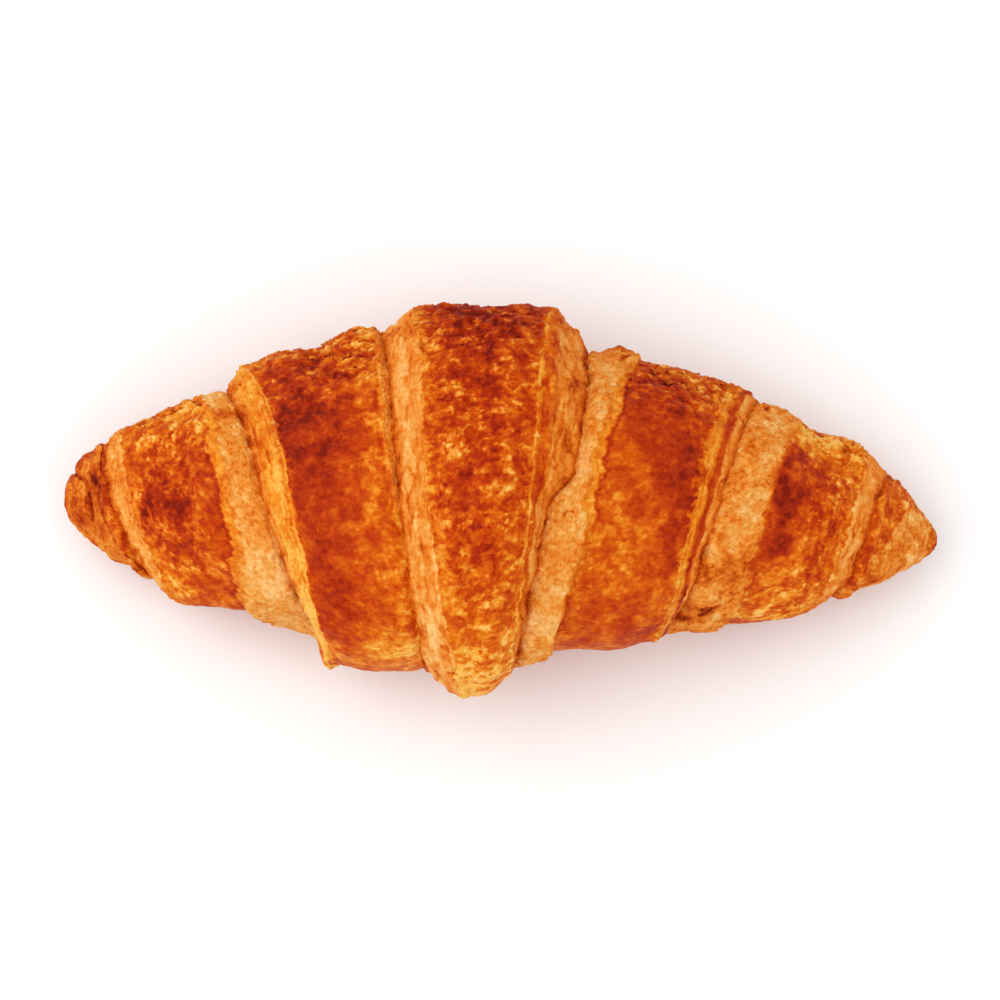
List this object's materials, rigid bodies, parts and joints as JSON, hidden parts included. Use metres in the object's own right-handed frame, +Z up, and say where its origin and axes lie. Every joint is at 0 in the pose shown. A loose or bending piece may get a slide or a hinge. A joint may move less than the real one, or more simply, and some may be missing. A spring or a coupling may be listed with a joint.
{
  "type": "croissant",
  "caption": "Straight baked butter croissant, a rolled crust of raised bands with layered edges, lying on its flat underside.",
  "frame": {"origin": "middle of the flat underside that it rests on, centred on its length and width", "axes": "+X along the roll towards the right end, +Y towards the back, away from the tongue's end, +Z up from the table"},
  "size_m": [0.16, 0.07, 0.049],
  "materials": {
    "crust": "glazed brown baked crust, satin, with paler layered edges"
  },
  "bodies": {
    "root": {"croissant": "crust"}
  },
  "joints": []
}
